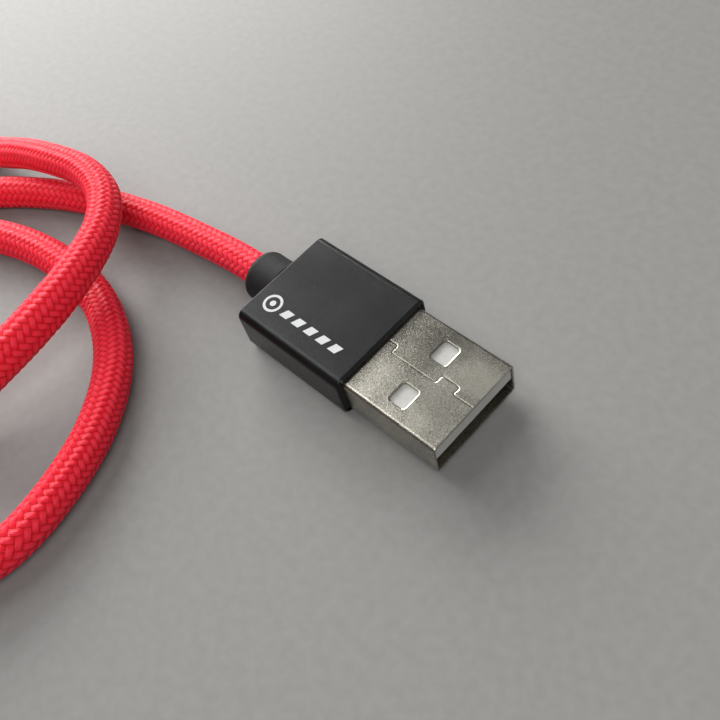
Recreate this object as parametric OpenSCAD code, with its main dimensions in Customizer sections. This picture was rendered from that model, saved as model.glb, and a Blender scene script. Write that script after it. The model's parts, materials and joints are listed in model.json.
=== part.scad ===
// Charging cable: a USB-A plug in a slim metal sleeve, a braided cable that lies
// in loose loops with its spare length in a tied coil, and a Micro-B plug.
// Millimetres. The USB-A plug points along +X and rests on z = 0.

/* [USB-A plug] */
// Width of the metal sleeve
sleeve_w = 13.4; // [13.2:0.1:14.5]
// Thickness of the metal sleeve
sleeve_h = 6.0; // [6.0:0.1:7.0]
// Length of the metal sleeve
sleeve_len = 15.2; // [14.5:0.1:20]
// Radius of the sleeve's long edges
sleeve_r = 1.0; // [0.8:0.1:1.6]
// Wall of the metal sleeve
sleeve_wall = 0.4; // [0.3:0.05:0.5]
// Length of the steel shell outside the sleeve
shell_out = 12.1; // [11.8:0.1:12.6]
// Thickness of the steel sheet
sheet = 0.3; // [0.25:0.01:0.32]
// Length of the window along the plug
window_l = 2.1; // [1.8:0.1:2.5]
// Width of the window across the plug
window_w = 2.5; // [2.0:0.1:2.8]
// Gap of the folded seam
seam_gap = 0.06; // [0.04:0.01:0.1]

/* [Strain relief] */
// Diameter of the round collar behind the sleeve
collar_d = 6.0; // [5.4:0.1:6.0]
// Length of the collar outside the sleeve
collar_len = 4.0; // [3:0.1:6]

/* [Cable] */
// Diameter of the braided cable
cable_d = 4.3; // [4.0:0.1:4.3]
// Radius of the middle of the coil's turns
coil_r = 25.4; // [25:0.1:26]
// Width of the strap that ties the coil
tie_w = 9; // [6:1:12]
// Thickness of the strap
tie_t = 0.8; // [0.5:0.1:1]

/* [Micro-B plug] */
// Width of the smaller metal sleeve
m_sleeve_w = 10.6; // [10:0.1:12]
// Length of the smaller metal sleeve
m_sleeve_len = 14.0; // [13:0.5:16]
// Length of the steel shell outside the smaller sleeve
m_shell_out = 6.0; // [5.6:0.1:6.4]

/* [Hidden] */

zc = sleeve_h / 2;
x_mouth = (sleeve_len + shell_out + collar_len) / 2;
x_front = x_mouth - shell_out;
x_rear = x_front - sleeve_len;
x_end = x_rear - collar_len;
shell_w = 12;
shell_h = 4.5;
shell_r = 0.5;
x_shell = x_front - 6.7;      // rear edge of the shell, inside the sleeve
x_wire = x_rear + 4.15;       // cut end of the cable, inside the sleeve
cav_w = sleeve_w - 2 * sleeve_wall;
cav_h = sleeve_h - 2 * sleeve_wall;
cav_r = sleeve_r - sleeve_wall;
cable_r = cable_d / 2;
fit = 0.02;                   // clearance between pieces pressed together
pin_y = [-3.5, -1, 1, 3.5];   // ground, data plus, data minus, supply

// where the Micro-B plug lies, on top of the coil, and its parts along +X from the end of its collar
m_x = -115;
m_y = -57;
m_zc = 2 * cable_d + 0.05 + sleeve_h / 2;
mx_rear = m_x + collar_len;
mx_front = mx_rear + m_sleeve_len;
mx_mouth = mx_front + m_shell_out;
mx_wire = mx_rear + 4.15;
m_cav_w = m_sleeve_w - 2 * sleeve_wall;
m_top = m_zc + 0.9;             // top face of the Micro-B shell
m_bot = m_zc - 0.9;
m_t = 0.25;                   // its sheet
latch_x = mx_front + 0.4;     // where the latch springs flex

// ---- cable route: centre points of the stretch that is not coiled ----
route = [
    [x_wire, 0, zc], [-12, 0, zc], [-16, 0, zc], [-20.4, -0.1, 2.8], [-27, -0.7, 2.4], [-34, -1.7, 2.2],
    [-41, -3.5, 2.2], [-47, -5.6, 2.2], [-53, -8.5, 2.2], [-58.5, -12.2, 2.2],
    [-65.3, -19.3, 2.2], [-69.9, -27.6, 2.2], [-71.4, -36.8, 2.2], [-69.6, -45.8, 2.2], [-64.2, -53, 2.2],
    [-56.4, -57.6, 2.2], [-47.6, -59.6, 2.2], [-39.6, -60.1, 2.2], [-32.4, -60.2, 2.2], [-26, -59.8, 2.2], [-20.3, -57.7, 2.2], [-16.4, -53.6, 2.2], [-14.2, -47.6, 2.2],
    [-12.3, -39.5, 2.2], [-13.2, -32.4, 2.2], [-16, -25.2, 2.2], [-20.9, -19.1, 2.2], [-27.5, -15.2, 2.2],
    [-34.5, -13.7, 2.2], [-42.5, -14, 2.2], [-50.5, -16.2, 2.2],
    [-58, -20.4, 2.2], [-62.7, -26.2, 2.2], [-64.3, -33, 2.2], [-62.2, -40.5, 2.2], [-56.6, -46.3, 2.2],
    [-49.2, -48.7, 2.2], [-41.1, -47, 2.3], [-34.7, -41.9, 2.8], [-30.6, -34.6, 4.2],
    [-29.1, -26.7, 6.2], [-29.1, -19.6, 7.4], [-30.5, -13.4, 7.9], [-33.3, -8.4, 7.9], [-37.6, -5.1, 7.8],
    [-43.6, -4, 7.4], [-50, -4.8, 6.7], [-56.5, -5.8, 5.2], [-63, -7.3, 3.4],
    [-70, -8.8, 2.4], [-78, -9.3, 2.2], [-86, -8.2, 2.2], [-93, -6.1, 2.2]];

// ---- coil: its centre, and the strap's place round it ----
coil_at = [-106, -31];
coil_in = coil_r - cable_d;   // inner face of the bundle of turns
coil_out = coil_r + cable_d;
coil_top = 2 * cable_d;
route_in = concat(route, [[coil_at[0] + (coil_r + cable_r) * cos(75), coil_at[1] + (coil_r + cable_r) * sin(75), 2.2]]);
coil_end = 200;               // angle at which the last turn leaves the coil
function on_coil(a, r, z) = [coil_at[0] + r * cos(a), coil_at[1] + r * sin(a), z];
tail = [
    on_coil(coil_end, coil_r + cable_r, 1.5 * cable_d), on_coil(212, 27.5, 7.1), on_coil(224, 27.7, 8.5), on_coil(235, 28.2, 10),
    [m_x - 3.7, m_y + 0.55, 11.2], [m_x, m_y, m_zc], [m_x + 4, m_y, m_zc], [mx_wire, m_y, m_zc]];

function unit(v) = v / norm(v);
function along(p, i) = unit(p[min(i + 1, len(p) - 1)] - p[max(i - 1, 0)]);
// one ring of n points round p[i], square to the route and never twisted
function ring(p, i, r, n) =
    let (t = along(p, i), s = unit(cross([0, 0, 1], t)), u = cross(t, s))
    [for (k = [0:n - 1]) p[i] + r * (cos(360 * (k + 0.5) / n) * s + sin(360 * (k + 0.5) / n) * u)];

module swept(p, r, n = 8) {
    m = len(p);
    polyhedron(
        points = [for (i = [0:m - 1]) each ring(p, i, r, n)],
        faces = concat(
            [[for (k = [0:n - 1]) k]],
            [for (i = [0:m - 2]) for (k = [0:n - 1]) let (a = i * n + k, b = i * n + (k + 1) % n) each [[a, a + n, b + n], [a, b + n, b]]],
            [[for (k = [n - 1:-1:0]) (m - 1) * n + k]]));
}

// rounded rectangle made of straight edges and true arcs
module rr(w, h, r) {
    square([w - 2 * r, h], center = true);
    square([w, h - 2 * r], center = true);
    for (x = [-1, 1]) for (y = [-1, 1])
        translate([x * (w / 2 - r), y * (h / 2 - r)]) circle(r = r, $fn = 48);
}

// bar of rounded-rectangle section between x0 and x1
module bar(x0, x1, w, h, r, y = 0, z = zc)
    translate([x0, y, z]) rotate([90, 0, 90]) linear_extrude(x1 - x0) rr(w, h, r);

module box(x0, x1, y0, y1, z0, z1)
    translate([x0, y0, z0]) cube([x1 - x0, y1 - y0, z1 - z0]);

// cylinder along +X between x0 and x1
module rod(x0, x1, r, y = 0, z = zc)
    translate([x0, y, z]) rotate([0, 90, 0]) cylinder(h = x1 - x0, r = r, $fn = 48);

// ================= USB-A plug =================
module sleeve() color("#3a3b3d") difference() {
    bar(x_rear, x_front, sleeve_w, sleeve_h, sleeve_r);
    bar(x_rear - 1, x_front + 1, cav_w, cav_h, cav_r);
}

module inner_mould() color("#161616") difference() {
    bar(x_wire + 0.05, x_front - 0.15, cav_w - 2 * fit, cav_h - 2 * fit, cav_r - fit);
    bar(x_shell - fit, x_front + 1, shell_w + 2 * fit, shell_h + 2 * fit, shell_r + fit);
    box(x_wire - 1, x_shell + 0.5, -4.4, 4.4, zc - 1.5, zc + 1.5);
}

module strain_relief() color("#1c1c1c") difference() {
    union() {
        bar(x_rear + 0.2, x_wire, cav_w - 2 * fit, cav_h - 2 * fit, cav_r - fit);
        rod(x_end + 0.9, x_rear, collar_d / 2);
        rod(x_rear - 0.1, x_rear + 0.5, cav_h / 2 - fit);
        translate([x_end, 0, zc]) rotate([0, 90, 0]) rotate_extrude($fn = 64) {
            square([collar_d / 2 - 0.9, 0.9]);
            translate([collar_d / 2 - 0.9, 0.9]) intersection() { circle(r = 0.9, $fn = 48); translate([0, -0.9]) square([0.9, 0.9]); }
        }
    }
    rod(x_end - 1, x_wire + 1, cable_r + 0.03);
    rod(x_rear + 1.1, x_wire + 1, cable_r + 0.27);
}

module cable_clamp() color("#c9c9c4") difference() {
    rod(x_rear + 1.15, x_wire - 0.1, cable_r + 0.25);
    rod(x_rear, x_wire + 1, cable_r + 0.02);
}

// thin slot along the folded seam, with its two locking steps
module seam() {
    g = seam_gap / 2;
    translate([0, 0, zc + 1]) linear_extrude(3) {
        translate([x_shell - 1, 0.95 - g]) square([x_front + 1.4 - x_shell + 1 + g, 2 * g]);
        translate([x_front + 1.4 - g, -0.1 - g]) square([2 * g, 1.05 + 2 * g]);
        translate([x_front + 1.4 - g, -0.1 - g]) square([5.95 + 2 * g, 2 * g]);
        translate([x_front + 7.35 - g, -0.1 - g]) square([2 * g, 1 + 2 * g]);
        translate([x_front + 7.35 - g, 0.9 - g]) square([2.25 + 2 * g, 2 * g]);
        translate([x_front + 9.6 - g, -0.1 - g]) square([2 * g, 1 + 2 * g]);
        translate([x_front + 9.6 - g, -0.1 - g]) square([x_mouth - x_front - 9.6 + 1, 2 * g]);
    }
}

module shell() color("#a9a69a") difference() {
    bar(x_shell, x_mouth, shell_w, shell_h, shell_r);
    bar(x_shell - 1, x_mouth + 1, shell_w - 2 * sheet, shell_h - 2 * sheet, shell_r - sheet);
    for (y = [-3.07, 3.07])
        translate([x_front + 5.85, y, -1]) linear_extrude(sleeve_h + 2) rr(window_l, window_w, 0.35);
    seam();
}

module insulator() color("#ecebe6") difference() {
    union() {
        bar(x_shell + 0.05, x_mouth - 0.15, shell_w - 2 * sheet - 2 * fit, 1.93, 0.18, 0, zc + 0.965);
        bar(x_shell + 0.05, x_mouth - 11.8, shell_w - 2 * sheet - 2 * fit, shell_h - 2 * sheet - 2 * fit, 0.18);
    }
    for (i = [0:3])
        box(x_shell - 1, x_mouth - (abs(pin_y[i]) > 2 ? 1.1 : 2.1), pin_y[i] - 0.52, pin_y[i] + 0.52, zc - 0.05, zc + 0.27);
}

module contact(i) color("#d8b24a")
    box(x_shell - 1.65, x_mouth - (abs(pin_y[i]) > 2 ? 1.15 : 2.15), pin_y[i] - 0.5, pin_y[i] + 0.5, zc - 0.04, zc + 0.26);
module vbus_contact() contact(3);
module data_minus_contact() contact(2);
module data_plus_contact() contact(1);
module ground_contact() contact(0);

// one insulated wire from the cable's end to its contact's tail
module wire(x, xt, y, by, bz, py) {
    swept([[x + 0.05, y + by, zc + bz], [x + 0.55, y + by, zc + bz], [xt - 0.75, y + py, zc + 0.75], [xt - 0.15, y + py, zc + 0.75]], 0.44);
    swept([[xt - 0.2, y + py, zc + 0.5], [xt + 0.9, y + py, zc + 0.5]], 0.2);
}
module red_wire() color("#c02020") wire(x_wire, x_shell - 1.6, 0, 0.55, -0.55, 3.5);
module white_wire() color("#e8e8e8") wire(x_wire, x_shell - 1.6, 0, 0.55, 0.55, 1);
module green_wire() color("#208040") wire(x_wire, x_shell - 1.6, 0, -0.55, 0.55, -1);
module black_wire() color("#181818") wire(x_wire, x_shell - 1.6, 0, -0.55, -0.55, -3.5);

// ================= cable =================
module cable() color("#d4202e") swept(route_in, cable_r);
module cable_tail() color("#d4202e") swept(tail, cable_r);

module coiled_cable() color("#d4202e") translate([coil_at[0], coil_at[1], 0]) difference() {
    rotate_extrude($fn = 96) translate([coil_r, coil_top / 2]) rr(2 * cable_d, coil_top, cable_r * 0.8);
    // the strap draws the turns together
    difference() {
        box(-coil_out - 1, -coil_in + 3, -tie_w / 2 - 0.1, tie_w / 2 + 0.1, -1, coil_top + 1);
        box(-coil_out + tie_t, -coil_in - tie_t + 0.4, -tie_w, tie_w, tie_t, coil_top - tie_t);
    }
}

module coil_strap() color("#202022") translate([coil_at[0], coil_at[1], 0]) difference() {
    translate([0, tie_w / 2, 0]) rotate([90, 0, 0]) linear_extrude(tie_w)
        translate([-coil_r + 0.2, coil_top / 2]) rr(2 * cable_d + 0.4, coil_top, 1.6);
    box(-coil_out + tie_t - 0.02, -coil_in - tie_t + 0.42, -tie_w, tie_w, tie_t - 0.02, coil_top - tie_t + 0.02);
}

// ================= Micro-B plug =================
module micro_sleeve() color("#3a3b3d") difference() {
    bar(mx_rear, mx_front, m_sleeve_w, sleeve_h, sleeve_r, m_y, m_zc);
    bar(mx_rear - 1, mx_front + 1, m_cav_w, cav_h, cav_r, m_y, m_zc);
}

// outline of the Micro-B shell: flat top, two cut lower corners
module m_outline(o) polygon([
    [-3.425 - o, 0.9 + o], [3.425 + o, 0.9 + o], [3.425 + o, -0.15 - o * 0.41],
    [2.675 + o * 0.41, -0.9 - o], [-2.675 - o * 0.41, -0.9 - o], [-3.425 - o, -0.15 - o * 0.41]]);
module m_bar(x0, x1, o) translate([x0, m_y, m_zc]) rotate([90, 0, 90]) linear_extrude(x1 - x0) m_outline(o);

module micro_inner_mould() color("#161616") difference() {
    bar(mx_wire + 0.05, mx_front - 0.15, m_cav_w - 2 * fit, cav_h - 2 * fit, cav_r - fit, m_y, m_zc);
    m_bar(mx_front - 4 - fit, mx_front + 1, fit);
    box(mx_wire - 1, mx_front - 3.8, m_y - 2.6, m_y + 2.6, m_zc - 1.3, m_zc + 1.5);
}

module micro_strain_relief() color("#1c1c1c") difference() {
    union() {
        bar(mx_rear + 0.2, mx_wire, m_cav_w - 2 * fit, cav_h - 2 * fit, cav_r - fit, m_y, m_zc);
        rod(m_x + 0.9, mx_rear, collar_d / 2, m_y, m_zc);
        rod(mx_rear - 0.1, mx_rear + 0.5, cav_h / 2 - fit, m_y, m_zc);
        translate([m_x, m_y, m_zc]) rotate([0, 90, 0]) rotate_extrude($fn = 64) {
            square([collar_d / 2 - 0.9, 0.9]);
            translate([collar_d / 2 - 0.9, 0.9]) intersection() { circle(r = 0.9, $fn = 48); translate([0, -0.9]) square([0.9, 0.9]); }
        }
    }
    rod(m_x - 1, mx_wire + 1, cable_r + 0.03, m_y, m_zc);
    rod(mx_rear + 1.1, mx_wire + 1, cable_r + 0.27, m_y, m_zc);
}

module micro_cable_clamp() color("#c9c9c4") difference() {
    rod(mx_rear + 1.15, mx_wire - 0.1, cable_r + 0.25, m_y, m_zc);
    rod(mx_rear, mx_wire + 1, cable_r + 0.02, m_y, m_zc);
}

module micro_shell() color("#a9a69a") difference() {
    m_bar(mx_front - 4, mx_mouth, 0);
    m_bar(mx_front - 5, mx_mouth + 1, -m_t);
    for (s = [-1, 1]) box(mx_mouth - 3.2, mx_mouth - 0.9, m_y + s * 2.25 - 0.36, m_y + s * 2.25 + 0.36, m_bot - 1, m_bot + 0.4);
}

module micro_insulator() color("#1a1a1a") difference() {
    union() {
        box(mx_front - 4, mx_mouth - 0.2, m_y - 1.75, m_y + 1.75, m_top - m_t - 0.02 - 0.6, m_top - m_t - 0.02);
        box(mx_front - 3.9, mx_front + 0.3, m_y - 1.75, m_y + 1.75, m_bot + m_t + 0.02, m_top - m_t - 0.1);
    }
    for (i = [-2:2]) box(mx_front - 5, mx_mouth - 0.7, m_y + 0.65 * i - 0.2, m_y + 0.65 * i + 0.2, m_top - m_t - 0.7, m_top - m_t - 0.4);
}

module micro_contacts() color("#d8b24a")
    for (i = [-2:2]) box(mx_front - 4.9, mx_mouth - 0.75, m_y + 0.65 * i - 0.18, m_y + 0.65 * i + 0.18, m_top - m_t - 0.68, m_top - m_t - 0.42);

// sprung latch: a leaf that runs forward inside the shell and a hook through its slot
module micro_latch(s) color("#c4c2ba") {
    translate([0, m_y + s * 2.25 + 0.25, 0]) rotate([90, 0, 0]) linear_extrude(0.5) polygon([
        [mx_front - 3.2, m_bot + m_t + 0.04], [mx_mouth - 2.8, m_bot + m_t + 0.04], [mx_mouth - 2.45, m_bot - 0.32],
        [mx_mouth - 2.1, m_bot - 0.32], [mx_mouth - 1.3, m_bot + m_t + 0.04], [mx_mouth - 0.9, m_bot + m_t + 0.04],
        [mx_mouth - 0.9, m_bot + m_t + 0.26], [mx_front - 3.2, m_bot + m_t + 0.26]]);
}
module micro_latch_left() micro_latch(1);
module micro_latch_right() micro_latch(-1);

// the outer two wires lie on their contacts' tails, the inner two under them
module m_wire(by, bz, py) {
    z = bz > 0 ? 0.68 : -0.49;
    swept([[mx_wire + 0.05, m_y + by, m_zc + bz], [mx_wire + 0.55, m_y + by, m_zc + bz], [mx_front - 6.1, m_y + py, m_zc + z], [mx_front - 5.1, m_y + py, m_zc + z]], 0.44);
    swept([[mx_front - 5.2, m_y + py, m_zc + (bz > 0 ? 0.4 : -0.2)], [mx_front - 4.2, m_y + py, m_zc + (bz > 0 ? 0.4 : -0.2)]], 0.15);
}
module micro_red_wire() color("#c02020") m_wire(0.55, 0.55, 1.3);
module micro_white_wire() color("#e8e8e8") m_wire(0.55, -0.55, 0.65);
module micro_green_wire() color("#208040") m_wire(-0.55, -0.55, -0.65);
module micro_black_wire() color("#181818") m_wire(-0.55, 0.55, -1.3);

sleeve();
inner_mould();
strain_relief();
cable_clamp();
shell();
insulator();
vbus_contact();
data_minus_contact();
data_plus_contact();
ground_contact();
red_wire();
white_wire();
green_wire();
black_wire();
cable();
coiled_cable();
coil_strap();
cable_tail();
micro_sleeve();
micro_inner_mould();
micro_strain_relief();
micro_cable_clamp();
micro_shell();
micro_insulator();
micro_contacts();
micro_latch_left();
micro_latch_right();
micro_red_wire();
micro_white_wire();
micro_green_wire();
micro_black_wire();
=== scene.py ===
"""A braided charging cable: USB-A plug in a slim metal sleeve, loose loops of cable, a tied coil and a Micro-B plug."""
import json
import math

import bmesh
import bpy
import numpy as np
from mathutils import Matrix, Vector


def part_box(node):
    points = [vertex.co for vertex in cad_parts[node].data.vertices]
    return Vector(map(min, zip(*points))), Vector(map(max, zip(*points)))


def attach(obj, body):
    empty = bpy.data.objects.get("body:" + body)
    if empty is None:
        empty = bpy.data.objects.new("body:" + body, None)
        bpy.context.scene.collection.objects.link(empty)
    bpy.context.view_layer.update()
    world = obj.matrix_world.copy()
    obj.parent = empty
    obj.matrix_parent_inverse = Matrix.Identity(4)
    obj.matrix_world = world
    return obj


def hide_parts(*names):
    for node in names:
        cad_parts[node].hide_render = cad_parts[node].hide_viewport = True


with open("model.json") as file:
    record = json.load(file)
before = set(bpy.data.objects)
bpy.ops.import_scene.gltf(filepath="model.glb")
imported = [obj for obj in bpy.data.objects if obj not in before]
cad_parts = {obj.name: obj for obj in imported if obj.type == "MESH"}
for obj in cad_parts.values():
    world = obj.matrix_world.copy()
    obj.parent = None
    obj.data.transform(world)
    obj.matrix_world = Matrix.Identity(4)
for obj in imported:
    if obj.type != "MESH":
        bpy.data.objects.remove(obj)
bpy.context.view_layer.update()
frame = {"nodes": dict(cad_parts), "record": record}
scene = bpy.context.scene
MM = 0.001

# ------------------------------------------------------------------ camera
cam_data = bpy.data.cameras.new("camera")
cam_data.sensor_fit = "HORIZONTAL"
cam_data.sensor_width = 36.0
cam_data.lens = 43.49993
cam_data.clip_start = 0.002
cam_data.clip_end = 20.0
cam = bpy.data.objects.new("camera", cam_data)
scene.collection.objects.link(cam)
right = Vector((0.71228006, 0.67743902, -0.1836668))
down = Vector((0.49879645, -0.6726401, -0.54658704))
ahead = Vector((-0.49382104, 0.2977107, -0.81701231))
place = Matrix.Identity(4)
for r_ in range(3):
    place[r_][0], place[r_][1], place[r_][2] = right[r_], -down[r_], -ahead[r_]
place.translation = Vector((46.398, -28.828, 76.996)) * MM
cam.matrix_world = place
scene.camera = cam
scene.view_settings.view_transform = "Standard"
scene.view_settings.look = "None"

# ------------------------------------------------------------------ sizes, millimetres, from the CAD nodes
lo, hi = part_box("sleeve")
X_REAR, X_FRONT = lo[0] / MM, hi[0] / MM
SW, SH = (hi[1] - lo[1]) / MM, (hi[2] - lo[2]) / MM
ZC = (hi[2] + lo[2]) / 2 / MM
lo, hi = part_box("shell")
X_SHELL, X_MOUTH = lo[0] / MM, hi[0] / MM
HW, HH = (hi[1] - lo[1]) / MM, (hi[2] - lo[2]) / MM
X_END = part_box("strain_relief")[0][0] / MM
X_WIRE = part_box("strain_relief")[1][0] / MM
WALL, SHEET, EDGE = 0.4, 0.3, 1.0
CAB = 2.15

lo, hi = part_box("micro_sleeve")
MX_REAR, MX_FRONT = lo[0] / MM, hi[0] / MM
MW = (hi[1] - lo[1]) / MM
MY = (hi[1] + lo[1]) / 2 / MM
MZ = (hi[2] + lo[2]) / 2 / MM
MX_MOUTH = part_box("micro_shell")[1][0] / MM
M_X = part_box("micro_strain_relief")[0][0] / MM
MX_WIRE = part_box("micro_strain_relief")[1][0] / MM


# ------------------------------------------------------------------ node materials
class Mat:
    """A principled material with short calls for the nodes that feed it."""

    def __init__(self, name, rough=0.5, metal=0.0, spec=0.5, coat=0.0, coat_rough=0.1, sheen=0.0, sheen_rough=0.5,
                 sheen_tint=(1, 1, 1), ior=1.5, aniso=0.0, sss=0.0, sss_radius=(0.001, 0.0005, 0.0003)):
        self.mat = bpy.data.materials.new(name)
        self.mat.use_nodes = True
        self.nt = self.mat.node_tree
        self.nt.nodes.clear()
        self.out = self.nt.nodes.new("ShaderNodeOutputMaterial")
        self.bsdf = self.nt.nodes.new("ShaderNodeBsdfPrincipled")
        self.nt.links.new(self.bsdf.outputs[0], self.out.inputs["Surface"])
        s = self.bsdf.inputs
        s["Roughness"].default_value = rough
        s["Metallic"].default_value = metal
        s["Specular IOR Level"].default_value = spec
        s["Coat Weight"].default_value = coat
        s["Coat Roughness"].default_value = coat_rough
        s["Sheen Weight"].default_value = sheen
        s["Sheen Roughness"].default_value = sheen_rough
        s["Sheen Tint"].default_value = (*sheen_tint, 1)
        s["IOR"].default_value = ior
        s["Anisotropic"].default_value = aniso
        s["Subsurface Weight"].default_value = sss
        s["Subsurface Radius"].default_value = sss_radius
        s["Subsurface Scale"].default_value = 1.0 if sss else 0.0
        self._coord = None

    def node(self, kind, **kw):
        n = self.nt.nodes.new(kind)
        for k, v in kw.items():
            setattr(n, k, v)
        return n

    def link(self, a, b):
        self.nt.links.new(a, b)

    def coord(self, which="Object", scale=(1, 1, 1), rot=(0, 0, 0)):
        if self._coord is None:
            self._coord = self.node("ShaderNodeTexCoord")
        m = self.node("ShaderNodeMapping")
        m.inputs["Scale"].default_value = scale
        m.inputs["Rotation"].default_value = rot
        self.link(self._coord.outputs[which], m.inputs["Vector"])
        return m.outputs["Vector"]

    def noise(self, scale, detail=3.0, rough=0.55, vec=None, distortion=0.0):
        n = self.node("ShaderNodeTexNoise")
        n.inputs["Scale"].default_value = scale
        n.inputs["Detail"].default_value = detail
        n.inputs["Roughness"].default_value = rough
        n.inputs["Distortion"].default_value = distortion
        self.link(vec if vec is not None else self.coord(), n.inputs["Vector"])
        return n.outputs["Fac"]

    def math(self, op, a, b=None, c=None, clamp=False):
        n = self.node("ShaderNodeMath", operation=op, use_clamp=clamp)
        for i, v in enumerate((a, b, c)):
            if v is None:
                continue
            if isinstance(v, (int, float)):
                n.inputs[i].default_value = v
            else:
                self.link(v, n.inputs[i])
        return n.outputs[0]

    def span(self, x, a0, a1, b0, b1):
        n = self.node("ShaderNodeMapRange", clamp=True)
        for i, v in ((0, x), (1, a0), (2, a1), (3, b0), (4, b1)):
            if isinstance(v, (int, float)):
                n.inputs[i].default_value = v
            else:
                self.link(v, n.inputs[i])
        return n.outputs[0]

    def ramp(self, x, stops):
        n = self.node("ShaderNodeValToRGB")
        e = n.color_ramp.elements
        while len(e) < len(stops):
            e.new(0.5)
        for i, (p, c) in enumerate(stops):
            e[i].position = p
            e[i].color = (*c, 1)
        self.link(x, n.inputs[0])
        return n.outputs[0]

    def mix(self, f, a, b, mode="MIX"):
        n = self.node("ShaderNodeMix", data_type="RGBA", blend_type=mode)
        for i, v in ((0, f), (6, a), (7, b)):
            if isinstance(v, (int, float)):
                n.inputs[i].default_value = v
            elif isinstance(v, tuple):
                n.inputs[i].default_value = (*v, 1)
            else:
                self.link(v, n.inputs[i])
        return n.outputs[2]

    def bump(self, height, distance, strength=1.0, normal=None):
        n = self.node("ShaderNodeBump")
        n.inputs["Strength"].default_value = strength
        n.inputs["Distance"].default_value = distance
        self.link(height, n.inputs["Height"])
        if normal is not None:
            self.link(normal, n.inputs["Normal"])
        return n.outputs["Normal"]

    def colour(self, c):
        self.link(c, self.bsdf.inputs["Base Color"])

    def rough(self, r):
        self.link(r, self.bsdf.inputs["Roughness"])

    def normal(self, n):
        self.link(n, self.bsdf.inputs["Normal"])


def grained(name, dark, light, rough, grain, depth, broad=90.0, **kw):
    """Two tones mixed by a fine and a broad noise, with matching roughness and bump: moulded plastic, blasted or plated metal."""
    m = Mat(name, rough=sum(rough) / 2, **kw)
    fine = m.noise(grain, 4.0, 0.6)
    wide = m.noise(broad, 2.0, 0.5)
    both = m.math("ADD", m.math("MULTIPLY", fine, 0.55), m.math("MULTIPLY", wide, 0.45))
    m.colour(m.ramp(both, [(0.36, dark), (0.64, light)]))
    m.rough(m.span(both, 0.35, 0.65, rough[0], rough[1]))
    m.normal(m.bump(fine, depth))
    return m


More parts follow.
